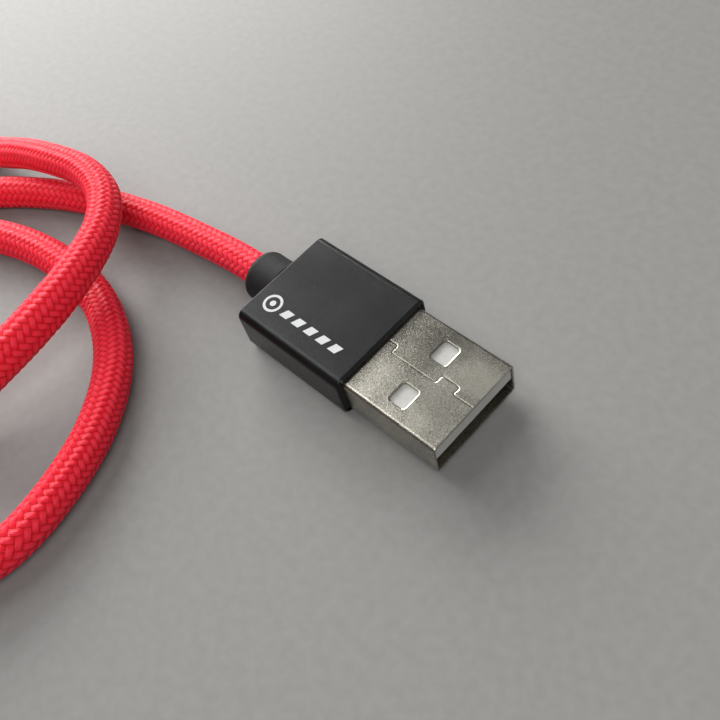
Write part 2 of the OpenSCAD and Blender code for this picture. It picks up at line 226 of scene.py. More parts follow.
def make_materials():
    mats = {}
    # dark anodised sleeve: blasted grain, broad tone drift, faint handling marks
    m = Mat("anodised_dark_metal", metal=0.82, spec=0.5)
    fine = m.noise(6500, 3.0, 0.65)
    wide = m.noise(70, 3.0, 0.55)
    marks = m.noise(1.0, 5.0, 0.7, vec=m.coord(scale=(260, 2600, 900)))
    tone = m.math("ADD", m.math("MULTIPLY", fine, 0.5), m.math("MULTIPLY", wide, 0.5))
    m.colour(m.ramp(tone, [(0.36, (0.016, 0.0165, 0.017)), (0.64, (0.030, 0.031, 0.0315))]))
    r1 = m.span(tone, 0.35, 0.65, 0.27, 0.36)
    m.rough(m.math("ADD", r1, m.span(marks, 0.56, 0.75, 0.0, 0.09)))
    m.normal(m.bump(fine, 0.000022, 0.75))
    mats["sleeve_metal"] = m.mat

    m = Mat("bare_machined_edge", metal=1.0, spec=0.5)
    n = m.noise(5200, 3.0, 0.6)
    m.colour(m.ramp(n, [(0.3, (0.25, 0.25, 0.26)), (0.7, (0.52, 0.52, 0.53))]))
    m.rough(m.span(n, 0.3, 0.7, 0.28, 0.42))
    mats["machined_edge"] = m.mat

    # nickel plating over a finely pebbled sheet
    m = Mat("nickel_plating", metal=1.0, spec=0.5)
    peb = m.noise(4600, 4.0, 0.72)
    fine = m.noise(15000, 2.0, 0.6)
    wide = m.noise(150, 3.0, 0.5)
    tone = m.math("ADD", m.math("MULTIPLY", wide, 0.45), m.math("MULTIPLY", peb, 0.55))
    m.colour(m.ramp(tone, [(0.40, (0.25, 0.240, 0.205)), (0.60, (0.52, 0.500, 0.435))]))
    m.rough(m.span(m.math("ADD", m.math("MULTIPLY", fine, 0.5), m.math("MULTIPLY", wide, 0.5)), 0.35, 0.65, 0.22, 0.31))
    h = m.math("ADD", m.math("MULTIPLY", peb, 0.8), m.math("MULTIPLY", fine, 0.2))
    m.normal(m.bump(h, 0.000028, 0.9))
    mats["nickel_steel"] = m.mat

    mats["black_plastic"] = grained("moulded_black_plastic", (0.008, 0.008, 0.009), (0.018, 0.018, 0.019), (0.42, 0.58), 3200, 0.00002).mat
    mats["soft_black"] = grained("soft_black_rubber", (0.006, 0.006, 0.0065), (0.014, 0.014, 0.0145), (0.60, 0.76), 2600, 0.00003, spec=0.22, sheen=0.01, sheen_rough=0.5).mat
    mats["tinned_steel"] = grained("tinned_steel", (0.52, 0.52, 0.50), (0.70, 0.70, 0.68), (0.28, 0.42), 2400, 0.00002, metal=1.0).mat
    mats["spring_steel"] = grained("spring_steel", (0.46, 0.45, 0.43), (0.62, 0.61, 0.58), (0.22, 0.34), 3800, 0.000012, metal=1.0).mat
    mats["white_plastic"] = grained("moulded_white_plastic", (0.37, 0.37, 0.352), (0.44, 0.44, 0.418), (0.38, 0.50), 2200, 0.000012, sss=0.10,
                                    sss_radius=(0.0006, 0.0005, 0.0004)).mat
    mats["gold_contact"] = grained("gold_plating", (0.78, 0.55, 0.20), (0.90, 0.68, 0.30), (0.18, 0.30), 3600, 0.00001, metal=1.0).mat
    mats["red_insulation"] = grained("red_wire_insulation", (0.48, 0.015, 0.015), (0.62, 0.03, 0.025), (0.35, 0.5), 1800, 0.00001).mat
    mats["white_insulation"] = grained("white_wire_insulation", (0.70, 0.70, 0.68), (0.80, 0.80, 0.78), (0.35, 0.5), 1800, 0.00001).mat
    mats["green_insulation"] = grained("green_wire_insulation", (0.015, 0.20, 0.05), (0.03, 0.30, 0.08), (0.35, 0.5), 1800, 0.00001).mat
    mats["black_insulation"] = grained("black_wire_insulation", (0.010, 0.010, 0.010), (0.022, 0.022, 0.022), (0.35, 0.5), 1800, 0.00001).mat
    mats["print_ink"] = grained("pale_print_ink", (0.40, 0.41, 0.42), (0.62, 0.63, 0.64), (0.45, 0.6), 9000, 0.000006).mat

    # braid: colour, filament lines and gloss laid along each bundle by the mesh's own coordinates, with shade painted
    # into its grooves
    m = Mat("red_nylon_braid", rough=0.42, spec=0.42, sss=0.5, sss_radius=(0.0025, 0.0004, 0.0005), sheen=0.24, sheen_rough=0.35, sheen_tint=(1.0, 0.16, 0.24))
    m.bsdf.inputs["Specular Tint"].default_value = (1.0, 0.55, 0.62, 1)
    uv = m.node("ShaderNodeUVMap", uv_map="Filament")
    sep = m.node("ShaderNodeSeparateXYZ")
    m.link(uv.outputs[0], sep.inputs[0])
    w, t = sep.outputs[0], sep.outputs[1]
    ids = m.node("ShaderNodeUVMap", uv_map="Bundle")
    sid = m.node("ShaderNodeSeparateXYZ")
    m.link(ids.outputs[0], sid.inputs[0])
    hid = sid.outputs[0]
    # the filaments wander a little along the bundle
    comb = m.node("ShaderNodeCombineXYZ")
    m.link(m.math("MULTIPLY", w, 2.5), comb.inputs[0])
    m.link(m.math("MULTIPLY", t, 1.3), comb.inputs[1])
    m.link(m.math("MULTIPLY", hid, 57.0), comb.inputs[2])
    wander = m.noise(1.0, 1.0, 0.5, vec=comb.outputs[0])
    ww = m.math("ADD", m.math("MULTIPLY", w, 5.0), m.math("MULTIPLY", m.math("SUBTRACT", wander, 0.5), 0.9))
    fr = m.math("FRACT", ww)
    lobe = m.math("MULTIPLY", m.math("MULTIPLY", fr, m.math("SUBTRACT", 1.0, fr)), 4.0)
    # one tone per filament and stitch
    comb2 = m.node("ShaderNodeCombineXYZ")
    m.link(m.math("FLOOR", ww), comb2.inputs[0])
    m.link(m.math("MULTIPLY", hid, 311.0), comb2.inputs[1])
    wn = m.node("ShaderNodeTexWhiteNoise", noise_dimensions="2D")
    m.link(comb2.outputs[0], wn.inputs["Vector"])
    tone = wn.outputs["Value"]
    edge = m.math("SUBTRACT", 1.0, m.math("POWER", m.math("ABSOLUTE", m.math("SUBTRACT", m.math("MULTIPLY", w, 2.0), 1.0)), 3.0))
    ends = m.math("POWER", m.math("SINE", m.math("MULTIPLY", t, math.pi / 2)), 0.55)
    # painted shade: bundle sides, stitch ends and the gaps between filaments are coloured darker red, and the crests a
    # little lighter and pinker as a painted highlight
    groove_shade = m.math("MULTIPLY", edge, ends, clamp=True)
    groove_shade = m.math("MULTIPLY", groove_shade, m.span(lobe, 0.0, 0.8, 0.72, 1.0))
    base = m.ramp(groove_shade, [(0.0, (0.58, 0.004, 0.010)), (0.35, (0.84, 0.012, 0.028)), (0.75, (0.98, 0.026, 0.060)), (1.0, (0.99, 0.040, 0.082))])
    base = m.mix(m.span(tone, 0.0, 1.0, 0.0, 0.32), base, m.mix(1.0, base, (0.80, 0.62, 0.66), "MULTIPLY"))
    drift = m.noise(45, 2.0, 0.5)
    base = m.mix(m.span(drift, 0.4, 0.65, 0.0, 0.18), base, m.mix(1.0, base, (0.86, 0.8, 0.8), "MULTIPLY"))
    m.colour(base)
    m.rough(m.math("ADD", m.span(tone, 0.0, 1.0, 0.38, 0.50), m.span(groove_shade, 0.0, 0.6, 0.22, 0.0)))
    m.normal(m.bump(lobe, 0.00005, 0.9))
    mats["red_braid"] = m.mat

    # woven hook-and-loop strap
    m = Mat("woven_black_strap", rough=0.85, spec=0.25, sheen=0.35, sheen_rough=0.45, sheen_tint=(0.75, 0.75, 0.8))
    uv = m.node("ShaderNodeUVMap", uv_map="Weave")
    sep = m.node("ShaderNodeSeparateXYZ")
    m.link(uv.outputs[0], sep.inputs[0])
    a = m.math("SINE", m.math("MULTIPLY", sep.outputs[0], 2 * math.pi / 0.62))
    b = m.math("SINE", m.math("MULTIPLY", sep.outputs[1], 2 * math.pi / 0.55))
    cell = m.math("MULTIPLY", a, b)
    fuzz = m.noise(5200, 3.0, 0.7)
    h = m.math("ADD", m.math("MULTIPLY", cell, 0.5), m.math("MULTIPLY", fuzz, 0.9))
    m.colour(m.ramp(h, [(0.0, (0.004, 0.004, 0.005)), (0.9, (0.026, 0.026, 0.029))]))
    m.rough(m.span(fuzz, 0.3, 0.7, 0.75, 0.95))
    m.normal(m.bump(h, 0.00009, 0.9))
    mats["strap_cloth"] = m.mat
    return mats


MATS = make_materials()


# ------------------------------------------------------------------ mesh helpers, all in millimetres until placed
def mesh_from(name, verts, faces):
    me = bpy.data.meshes.new(name)
    me.from_pydata([tuple(v) for v in verts], [], [tuple(f) for f in faces])
    me.validate()
    bm = bmesh.new()
    bm.from_mesh(me)
    bmesh.ops.recalc_face_normals(bm, faces=bm.faces)
    bm.to_mesh(me)
    bm.free()
    return me


def temp_object(me):
    o = bpy.data.objects.new(me.name + "_work", me)
    scene.collection.objects.link(o)
    return o


def evaluated(o):
    dg = bpy.context.evaluated_depsgraph_get()
    dg.update()
    return bpy.data.meshes.new_from_object(o.evaluated_get(dg), preserve_all_data_layers=True, depsgraph=dg)


def sharpen(me, degrees):
    """Marks the edges that turn more than an angle, so that folds and chamfers shade as flats."""
    bm = bmesh.new()
    bm.from_mesh(me)
    for e in bm.edges:
        if len(e.link_faces) == 2 and e.calc_face_angle(0.0) > math.radians(degrees):
            e.smooth = False
    bm.to_mesh(me)
    bm.free()


def shaped(me, cuts=(), bevel=0.0, seg=2, angle=28.0, smooth=True, sharp=None):
    """The mesh with its cut-outs taken away, its edges rounded and its normals weighted, still in millimetres."""
    o = temp_object(me)
    tools = []
    for c in cuts:
        t = temp_object(c)
        tools.append(t)
        md = o.modifiers.new("cut", "BOOLEAN")
        md.operation = "DIFFERENCE"
        md.solver = "EXACT"
        md.object = t
    if bevel > 0:
        md = o.modifiers.new("edge", "BEVEL")
        md.width = bevel
        md.segments = seg
        md.limit_method = "ANGLE"
        md.angle_limit = math.radians(angle)
        md.use_clamp_overlap = True
        md.miter_outer = "MITER_ARC"
    for m_ in [me, *cuts]:
        for p in m_.polygons:
            p.use_smooth = smooth
    res = evaluated(o)
    for t in tools:
        bpy.data.objects.remove(t)
    bpy.data.objects.remove(o)
    if sharp:
        sharpen(res, sharp)
    if smooth:
        o = temp_object(res)
        md = o.modifiers.new("normals", "WEIGHTED_NORMAL")
        md.keep_sharp = True
        md.weight = 80
        res = evaluated(o)
        bpy.data.objects.remove(o)
    return res


def piece(name, me, slotname, body="root", replaces=(), mats=None, scale=MM):
    """Places a millimetre mesh as a named piece: material, body, material slot and the CAD nodes that it stands for."""
    me.name = name
    me.transform(Matrix.Scale(scale, 4))
    me.materials.clear()
    for mm in (mats or [MATS[slotname]]):
        me.materials.append(mm)
    o = bpy.data.objects.new(name, me)
    scene.collection.objects.link(o)
    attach(o, body)
    if replaces:
        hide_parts(*replaces)
    return o


def rr(w, h, r, n=8):
    """Rounded rectangle as (y, z) points, counter-clockwise."""
    pts = []
    r = max(r, 1e-3)
    for cy, cz, a0 in ((w / 2 - r, h / 2 - r, 0), (-w / 2 + r, h / 2 - r, 90), (-w / 2 + r, -h / 2 + r, 180), (w / 2 - r, -h / 2 + r, 270)):
        for k in range(n + 1):
            a = math.radians(a0 + 90 * k / n)
            pts.append((cy + r * math.cos(a), cz + r * math.sin(a)))
    return pts


def loft(rings, closed=False, caps=True):
    """Quads between rings of equal length. closed joins the last ring to the first."""
    n = len(rings[0])
    verts = [p for r in rings for p in r]
    faces = []
    m = len(rings)
    for i in range(m if closed else m - 1):
        a, b = i * n, ((i + 1) % m) * n
        for k in range(n):
            k2 = (k + 1) % n
            faces.append((a + k, a + k2, b + k2, b + k))
    if not closed and caps:
        faces.append(tuple(range(n - 1, -1, -1)))
        faces.append(tuple((m - 1) * n + k for k in range(n)))
    return verts, faces


def tube_rr(stations, w, h, r, y0=0.0, z0=None, n=8, closed=True):
    """Rings of a rounded rectangle at stations (x, inset)."""
    z0 = ZC if z0 is None else z0
    rings = []
    for x, ins in stations:
        rings.append([(x, y0 + p[0], z0 + p[1]) for p in rr(w - 2 * ins, h - 2 * ins, max(r - ins, 0.02), n)])
    return loft(rings, closed=closed)


def merge(parts):
    verts, faces = [], []
    for v, f in parts:
        k = len(verts)
        verts += list(v)
        faces += [tuple(i + k for i in x) for x in f]
    return verts, faces


def block(x0, x1, y0, y1, z0, z1):
    v = [(x, y, z) for x in (x0, x1) for y in (y0, y1) for z in (z0, z1)]
    f = [(0, 1, 3, 2), (4, 6, 7, 5), (0, 4, 5, 1), (2, 3, 7, 6), (0, 2, 6, 4), (1, 5, 7, 3)]
    return v, f


def prism(outline, lo_, hi_, axis="z"):
    """A closed outline pushed between two heights. axis z: outline is (x, y); axis y: outline is (x, z); axis x: outline is (y, z)."""
    n = len(outline)
    def at(p, h):
        return {"z": (p[0], p[1], h), "y": (p[0], h, p[1]), "x": (h, p[0], p[1])}[axis]
    v = [at(p, lo_) for p in outline] + [at(p, hi_) for p in outline]
    f = [tuple(range(n - 1, -1, -1)), tuple(range(n, 2 * n))]
    f += [(k, (k + 1) % n, n + (k + 1) % n, n + k) for k in range(n)]
    return v, f


def lathe(profile, y0=0.0, z0=None, n=64, closed=False):
    """Profile of (x, r) turned round the plug's axis."""
    z0 = ZC if z0 is None else z0
    rings = [[(x, y0 + r * math.cos(2 * math.pi * k / n), z0 + r * math.sin(2 * math.pi * k / n)) for k in range(n)] for x, r in profile]
    return loft(rings, closed=closed)


def arc(cx, cy, r, a0, a1, n):
    return [(cx + r * math.cos(math.radians(a0 + (a1 - a0) * k / n)), cy + r * math.sin(math.radians(a0 + (a1 - a0) * k / n))) for k in range(n + 1)]


# ------------------------------------------------------------------ cable route (the points of part.scad)
ROUTE = [(-7.5, 0, 3), (-12, 0, 3), (-16, 0, 3), (-20.4, -0.1, 2.8), (-27, -0.7, 2.4), (-34, -1.7, 2.2), (-41, -3.5, 2.2),
         (-47, -5.6, 2.2), (-53, -8.5, 2.2), (-58.5, -12.2, 2.2), (-65.3, -19.3, 2.2), (-69.9, -27.6, 2.2), (-71.4, -36.8, 2.2), (-69.6, -45.8, 2.2),
         (-64.2, -53, 2.2), (-56.4, -57.6, 2.2), (-47.6, -59.6, 2.2), (-39.6, -60.1, 2.2), (-32.4, -60.2, 2.2), (-26, -59.8, 2.2), (-20.3, -57.7, 2.2),
         (-16.4, -53.6, 2.2), (-14.2, -47.6, 2.2), (-12.3, -39.5, 2.2), (-13.2, -32.4, 2.2), (-16, -25.2, 2.2), (-20.9, -19.1, 2.2), (-27.5, -15.2, 2.2),
         (-34.5, -13.7, 2.2), (-42.5, -14, 2.2), (-50.5, -16.2, 2.2), (-58, -20.4, 2.2), (-62.7, -26.2, 2.2), (-64.3, -33, 2.2), (-62.2, -40.5, 2.2),
         (-56.6, -46.3, 2.2), (-49.2, -48.7, 2.2), (-41.1, -47, 2.3), (-34.7, -41.9, 2.8), (-30.6, -34.6, 4.2), (-29.1, -26.7, 6.2), (-29.1, -19.6, 7.4),
         (-30.5, -13.4, 7.9), (-33.3, -8.4, 7.9), (-37.6, -5.1, 7.8), (-43.6, -4, 7.4), (-50, -4.8, 6.7), (-56.5, -5.8, 5.2), (-63, -7.3, 3.4),
         (-70, -8.8, 2.4), (-78, -9.3, 2.2), (-86, -8.2, 2.2), (-93, -6.1, 2.2)]
COIL_AT = (-106.0, -31.0)
COIL_R, D = 25.4, 4.3
COIL_END = 200.0


def on_coil(deg, r, z):
    return (COIL_AT[0] + r * math.cos(math.radians(deg)), COIL_AT[1] + r * math.sin(math.radians(deg)), z)


TAIL = [on_coil(212, 27.5, 7.1), on_coil(224, 27.7, 8.5), on_coil(235, 28.2, 10), (M_X - 3.7, MY + 0.55, 11.2), (M_X, MY, MZ), (M_X + 4, MY, MZ), (MX_WIRE, MY, MZ)]


def step(t):
    t = min(1.0, max(0.0, t))
    return t * t * (3 - 2 * t)


def squeeze(theta):
    """1 under the strap, 0 away from it."""
    d = abs((math.degrees(theta) - 180.0 + 180.0) % 360.0 - 180.0)
    return 1.0 - step((d - 12.0) / 14.0)


def coil_points():
    pts = []
    a = 0.0
    while a <= 1005.0 + COIL_END:
        th = math.radians(75 + a)
        ro, ri = COIL_R + CAB, COIL_R - CAB
        r = ro + (ri - ro) * step((a - 270) / 60)
        if a > 880:
            r = ri + (ro - ri) * step((a - 880) / 65)
        z = CAB + D * step((a - 590) / 60)
        # the strap draws the turns together
        q = squeeze(th)
        r = r + q * ((25.2 + (r - COIL_R) / CAB * 1.8) - r)
        z = z + q * ((D + (z - D) / CAB * 1.74) - z)
        pts.append((COIL_AT[0] + r * math.cos(th), COIL_AT[1] + r * math.sin(th), z))
        a += 4.0
    return pts


def smooth_line(P, n=10):
    """Centripetal Catmull-Rom through the points."""
    P = np.array(P, float)
    Q = np.vstack([2 * P[0] - P[1], P, 2 * P[-1] - P[-2]])
    out = []
    for i in range(1, len(Q) - 2):
        p0, p1, p2, p3 = Q[i - 1:i + 3]
        t1 = np.linalg.norm(p1 - p0) ** 0.5
        t2 = t1 + np.linalg.norm(p2 - p1) ** 0.5
        t3 = t2 + np.linalg.norm(p3 - p2) ** 0.5
        for t in np.linspace(t1, t2, n, endpoint=False):
            A1 = (t1 - t) / t1 * p0 + t / t1 * p1
            A2 = (t2 - t) / (t2 - t1) * p1 + (t - t1) / (t2 - t1) * p2
            A3 = (t3 - t) / (t3 - t2) * p2 + (t - t2) / (t3 - t2) * p3
            B1 = (t2 - t) / t2 * A1 + t / t2 * A2
            B2 = (t3 - t) / (t3 - t1) * A2 + (t - t1) / (t3 - t1) * A3
            out.append((t2 - t) / (t2 - t1) * B1 + (t - t1) / (t2 - t1) * B2)
    out.append(P[-1])
    return np.array(out)


LINE = smooth_line(ROUTE + coil_points() + TAIL)
ARC = np.r_[0, np.cumsum(np.linalg.norm(np.diff(LINE, axis=0), axis=1))]
TOTAL = float(ARC[-1])
ROUTE_LEN = float(np.r_[0, np.cumsum(np.linalg.norm(np.diff(smooth_line(ROUTE), axis=0), axis=1))][-1])


def at_arc(s):
    return np.stack([np.interp(s, ARC, LINE[:, k]) for k in range(3)], 1)


def frames(P):
    """Tangents and a side vector that never twists, by double reflection."""
    T = np.gradient(P, axis=0)
    T /= np.linalg.norm(T, axis=1)[:, None]
    S = np.zeros_like(P)
    up = np.array([0.0, 0.0, 1.0])
    s = np.cross(up, T[0]); s /= np.linalg.norm(s)
    S[0] = s
    for i in range(len(P) - 1):
        v1 = P[i + 1] - P[i]
        c1 = v1 @ v1
        if c1 < 1e-12:
            S[i + 1] = S[i]
            continue
        rl = S[i] - (2 / c1) * (v1 @ S[i]) * v1
        tl = T[i] - (2 / c1) * (v1 @ T[i]) * v1
        v2 = T[i + 1] - tl
        c2 = v2 @ v2
        S[i + 1] = rl - (2 / c2) * (v2 @ rl) * v2 if c2 > 1e-14 else rl
    return T, S


# body radius of the cable, in mm, at points of the route
def arc_of(point):
    return float(ARC[10 * ROUTE.index(point)])


RADII = [(0, 1.88), (arc_of((-27, -0.7, 2.4)), 1.90), (arc_of((-47, -5.6, 2.2)), 1.95), (arc_of((-65.3, -19.3, 2.2)), 2.1), (arc_of((-14.2, -47.6, 2.2)), 2.15),
         (arc_of((-58, -20.4, 2.2)), 2.15), (arc_of((-34.7, -41.9, 2.8)), 2.15), (arc_of((-30.6, -34.6, 4.2)), 2.36),
         (arc_of((-29.1, -26.7, 6.2)), 2.40), (arc_of((-29.1, -19.6, 7.4)), 2.34), (arc_of((-30.5, -13.4, 7.9)), 2.20), (arc_of((-33.3, -8.4, 7.9)), 2.05), (arc_of((-37.6, -5.1, 7.8)), 2.0),
         (arc_of((-56.5, -5.8, 5.2)), 2.0), (arc_of((-70, -8.8, 2.4)), 2.1), (ROUTE_LEN, 2.13), (TOTAL, 2.12)]
N_BUNDLES, BULGE = 12, 0.20
# length of one stitch step along the cable, in mm: the braid is drawn out on some stretches and pushed together on others
PITCHES = [(0, 0.92), (arc_of((-34, -1.7, 2.2)), 0.88), (arc_of((-53, -8.5, 2.2)), 0.95), (arc_of((-69.9, -27.6, 2.2)), 1.05), (arc_of((-20.3, -57.7, 2.2)), 1.25),
           (arc_of((-14.2, -47.6, 2.2)), 1.25), (arc_of((-12.3, -39.5, 2.2)), 1.12), (arc_of((-13.2, -32.4, 2.2)), 0.86), (arc_of((-16, -25.2, 2.2)), 0.74),
           (arc_of((-27.5, -15.2, 2.2)), 0.76), (arc_of((-42.5, -14, 2.2)), 0.86), (arc_of((-62.7, -26.2, 2.2)), 1.0), (arc_of((-49.2, -48.7, 2.2)), 1.25),
           (arc_of((-34.7, -41.9, 2.8)), 1.30), (arc_of((-30.6, -34.6, 4.2)), 1.22), (arc_of((-29.1, -26.7, 6.2)), 0.98), (arc_of((-29.1, -19.6, 7.4)), 0.84),
           (arc_of((-33.3, -8.4, 7.9)), 0.76), (arc_of((-50, -4.8, 6.7)), 0.80), (arc_of((-70, -8.8, 2.4)), 0.95), (ROUTE_LEN, 1.05), (TOTAL, 1.05)]
B_S = np.arange(0, TOTAL + 0.25, 0.25)
B_OF = np.r_[0, np.cumsum(0.25 / np.interp((B_S[1:] + B_S[:-1]) / 2, [q[0] for q in PITCHES], [q[1] for q in PITCHES]))]


def stitch_height(s1, s2, K):
    """Height 0..1 of the braid's surface at whole-number coordinates s1, s2 (in 1/K), worked out on the cell above and right of the point."""
    i, j = np.floor_divide(s1, K), np.floor_divide(s2, K)
    f1, f2 = (s1 - i * K) / K, (s2 - j * K) / K
    m = np.mod(i + j, 4)
    t = np.where(m < 2, f2 + m, f1 + (m - 2))
    w = np.where(m < 2, f1, f2)
    prof = np.power(np.clip(1 - np.abs(2 * w - 1) ** 2.4, 0, 1), 0.7)
    ends = np.power(np.clip(np.sin(np.pi * t / 2), 0, 1), 0.62)
    # beside a stitch that runs the same way the groove is shallow; where it meets the other way's ends it is deep
    side0 = np.where(t > 1, np.sin(np.pi * np.clip(t - 1, 0, 1)), 0.0)
    side1 = np.where(t < 1, np.sin(np.pi * np.clip(t, 0, 1)), 0.0)
    low = np.where(w < 0.5, side0, side1) * 0.55
    return low + (ends - low) * prof


def cable_mesh():
    """The braid as real bundles: 12 each way, two over and two under, so that stitches stand in columns along the cable."""
    fine, coarse = 6, 4
    cuts = [(0.0, ROUTE_LEN, fine), (ROUTE_LEN, TOTAL, coarse)]
    b_switch = math.floor(np.interp(ROUTE_LEN, B_S, B_OF))
    b_end = math.floor(np.interp(TOTAL, B_S, B_OF))
    rings = [(k / fine, fine) for k in range(0, b_switch * fine + 1)]
    rings += [(b_switch + k / coarse, coarse) for k in range(1, (b_end - b_switch) * coarse + 1)]
    b = np.array([r[0] for r in rings])
    kk = np.array([r[1] for r in rings])
    S = np.interp(b, B_OF, B_S)
    P = at_arc(S)
    T, U = frames(P)
    V = np.cross(T, U)
    rad = np.interp(S, [r[0] for r in RADII], [r[1] for r in RADII])
    # squeezed a little where the strap holds the turns
    th = np.arctan2(P[:, 1] - COIL_AT[1], P[:, 0] - COIL_AT[0])
    sq = np.array([squeeze(x) for x in th]) * (S > ROUTE_LEN) * (S < TOTAL - 36)
    rad = rad * (1 - 0.13 * sq)
    P[:, 2] = np.maximum(P[:, 2], rad + BULGE * 0.34 + 0.01)
    verts, starts = [], []
    count = 0
    for K in (fine, coarse):
        idx = np.flatnonzero(kk == K)
        n = N_BUNDLES * K
        ja = np.arange(n)
        kb = np.rint(b[idx] * K).astype(int)
        s1 = ja[None, :] + kb[:, None]
        s2 = ja[None, :] - kb[:, None]
        h = stitch_height(s1, s2, K)
        R = rad[idx][:, None] - BULGE * 0.66 + BULGE * h
        ang = 2 * np.pi * ja / n
        pts = P[idx][:, None, :] + R[..., None] * (np.cos(ang)[None, :, None] * U[idx][:, None, :] + np.sin(ang)[None, :, None] * V[idx][:, None, :])
        verts.append(pts.reshape(-1, 3))
        starts.append((idx, n, count, kb))
        count += len(idx) * n
    verts = np.vstack(verts)
    tris, uvs, ids = [], [], []

    def cells(tri_a, tri_b, K):
        """Corner coordinates of triangles given in whole numbers a, b (both in 1/K)."""
        s1 = (tri_a + tri_b) / K
        s2 = (tri_a - tri_b) / K
        c1, c2 = s1.mean(1), s2.mean(1)
        i, j = np.floor(c1), np.floor(c2)
        m = np.mod(i + j, 4)
        one = (m < 2)[:, None]
        f1, f2 = s1 - i[:, None], s2 - j[:, None]
        t = np.where(one, f2 + m[:, None], f1 + (m - 2)[:, None])
        w = np.where(one, f1, f2)
        key = np.where(m < 2, i * 12.9898 + (j - m) * 78.233, j * 39.425 + (i - (m - 2)) * 11.135 + 5.1)
        h = np.abs(np.sin(key) * 43758.5453) % 1.0
        uv = np.stack([w, t], 2)
        ident = np.stack([np.repeat(h[:, None], 3, 1), np.repeat((m < 2).astype(float)[:, None], 3, 1)], 2)
        return uv, ident

    for idx, n, first, kb in starts:
        K = n // N_BUNDLES
        m_r = len(idx)
        k, j = np.meshgrid(np.arange(m_r - 1), np.arange(n), indexing="ij")
        j2 = (j + 1) % n
        bk = kb[:-1][:, None] + 0 * j
        A, B = first + k * n + j, first + k * n + j2
        C, Dd = first + (k + 1) * n + j, first + (k + 1) * n + j2
        # the split follows the side of the bundle that lies on top in this cell
        mid1, mid2 = (j + bk + 1) / K, (j - bk) / K
        on1 = np.mod(bk + j + 1, K) == 0
        on2 = np.mod(j - bk, K) == 0
        i_, j_ = np.floor(mid1 + 1e-6), np.floor(mid2 + 1e-6)
        top1 = np.mod(i_ + j_, 4) < 2
        split1 = np.where(on1, True, np.where(on2, False, top1))  # along s1 = const: B to C
        for use, quads in ((True, None), (False, None)):
            s = (split1 == use)
            a0, b0 = j[s], bk[s]
            if use:
                t1 = np.stack([A[s], B[s], C[s]], 1); a1 = np.stack([a0, a0 + 1, a0], 1); b1 = np.stack([b0, b0, b0 + 1], 1)
                t2 = np.stack([B[s], Dd[s], C[s]], 1); a2 = np.stack([a0 + 1, a0 + 1, a0], 1); b2 = np.stack([b0, b0 + 1, b0 + 1], 1)
            else:
                t1 = np.stack([A[s], B[s], Dd[s]], 1); a1 = np.stack([a0, a0 + 1, a0 + 1], 1); b1 = np.stack([b0, b0, b0 + 1], 1)
                t2 = np.stack([A[s], Dd[s], C[s]], 1); a2 = np.stack([a0, a0 + 1, a0], 1); b2 = np.stack([b0, b0 + 1, b0 + 1], 1)
            for t_, a_, b_ in ((t1, a1, b1), (t2, a2, b2)):
                uv, ident = cells(a_, b_, K)
                tris.append(t_); uvs.append(uv); ids.append(ident)
    # the band between the fine and the coarse part: three fine steps meet two coarse ones
    (idx_f, n_f, first_f, kb_f), (idx_c, n_c, first_c, kb_c) = starts
    base_f, base_c = first_f + (len(idx_f) - 1) * n_f, first_c
    bf, bc = kb_f[-1] / fine, kb_c[0] / coarse
    t_, a_, b_ = [], [], []
    for u in range(2 * N_BUNDLES):
        f = [base_f + (3 * u + k) % n_f for k in range(4)]
        c = [base_c + (2 * u + k) % n_c for k in range(3)]
        fa = [(3 * u + k) / fine for k in range(4)]
        ca = [(2 * u + k) / coarse for k in range(3)]
        for tri, aa, bb in (((f[0], f[1], c[0]), (fa[0], fa[1], ca[0]), (bf, bf, bc)),
                            ((f[1], c[1], c[0]), (fa[1], ca[1], ca[0]), (bf, bc, bc)),
                            ((f[1], f[2], c[1]), (fa[1], fa[2], ca[1]), (bf, bf, bc)),
                            ((f[2], c[2], c[1]), (fa[2], ca[2], ca[1]), (bf, bc, bc)),
                            ((f[2], f[3], c[2]), (fa[2], fa[3], ca[2]), (bf, bf, bc))):
            t_.append(tri); a_.append(aa); b_.append(bb)
    uv, ident = cells(np.array(a_), np.array(b_), 1)
    tris.append(np.array(t_)); uvs.append(uv); ids.append(ident)
    # end caps
    n0 = len(verts)
    verts = np.vstack([verts, P[:1], P[-1:]])
    caps = [(n0, first_f + (k + 1) % n_f, first_f + k) for k in range(n_f)]
    lastc = first_c + (len(idx_c) - 1) * n_c
    caps += [(n0 + 1, lastc + k, lastc + (k + 1) % n_c) for k in range(n_c)]
    caps = np.array(caps)
    tris.append(caps); uvs.append(np.zeros((len(caps), 3, 2))); ids.append(np.zeros((len(caps), 3, 2)))
    tris, uvs, ids = np.vstack(tris), np.vstack(uvs), np.vstack(ids)
    me = bpy.data.meshes.new("braided_cable")
    me.vertices.add(len(verts))
    me.vertices.foreach_set("co", verts.astype(np.float32).ravel())
    me.loops.add(len(tris) * 3)
    me.loops.foreach_set("vertex_index", tris.astype(np.int32).ravel())
    me.polygons.add(len(tris))
    me.polygons.foreach_set("loop_start", np.arange(0, len(tris) * 3, 3, dtype=np.int32))
    me.update(calc_edges=True)
    for name, data in (("Filament", uvs), ("Bundle", ids)):
        layer = me.uv_layers.new(name=name)
        layer.data.foreach_set("uv", data.reshape(-1, 2).astype(np.float32).ravel())
    me.polygons.foreach_set("use_smooth", np.ones(len(tris), dtype=bool))
    me.update()
    return me


cable_me = cable_mesh()
cable = piece("braided_cable", cable_me, "red_braid", replaces=("cable", "coiled_cable", "cable_tail"))

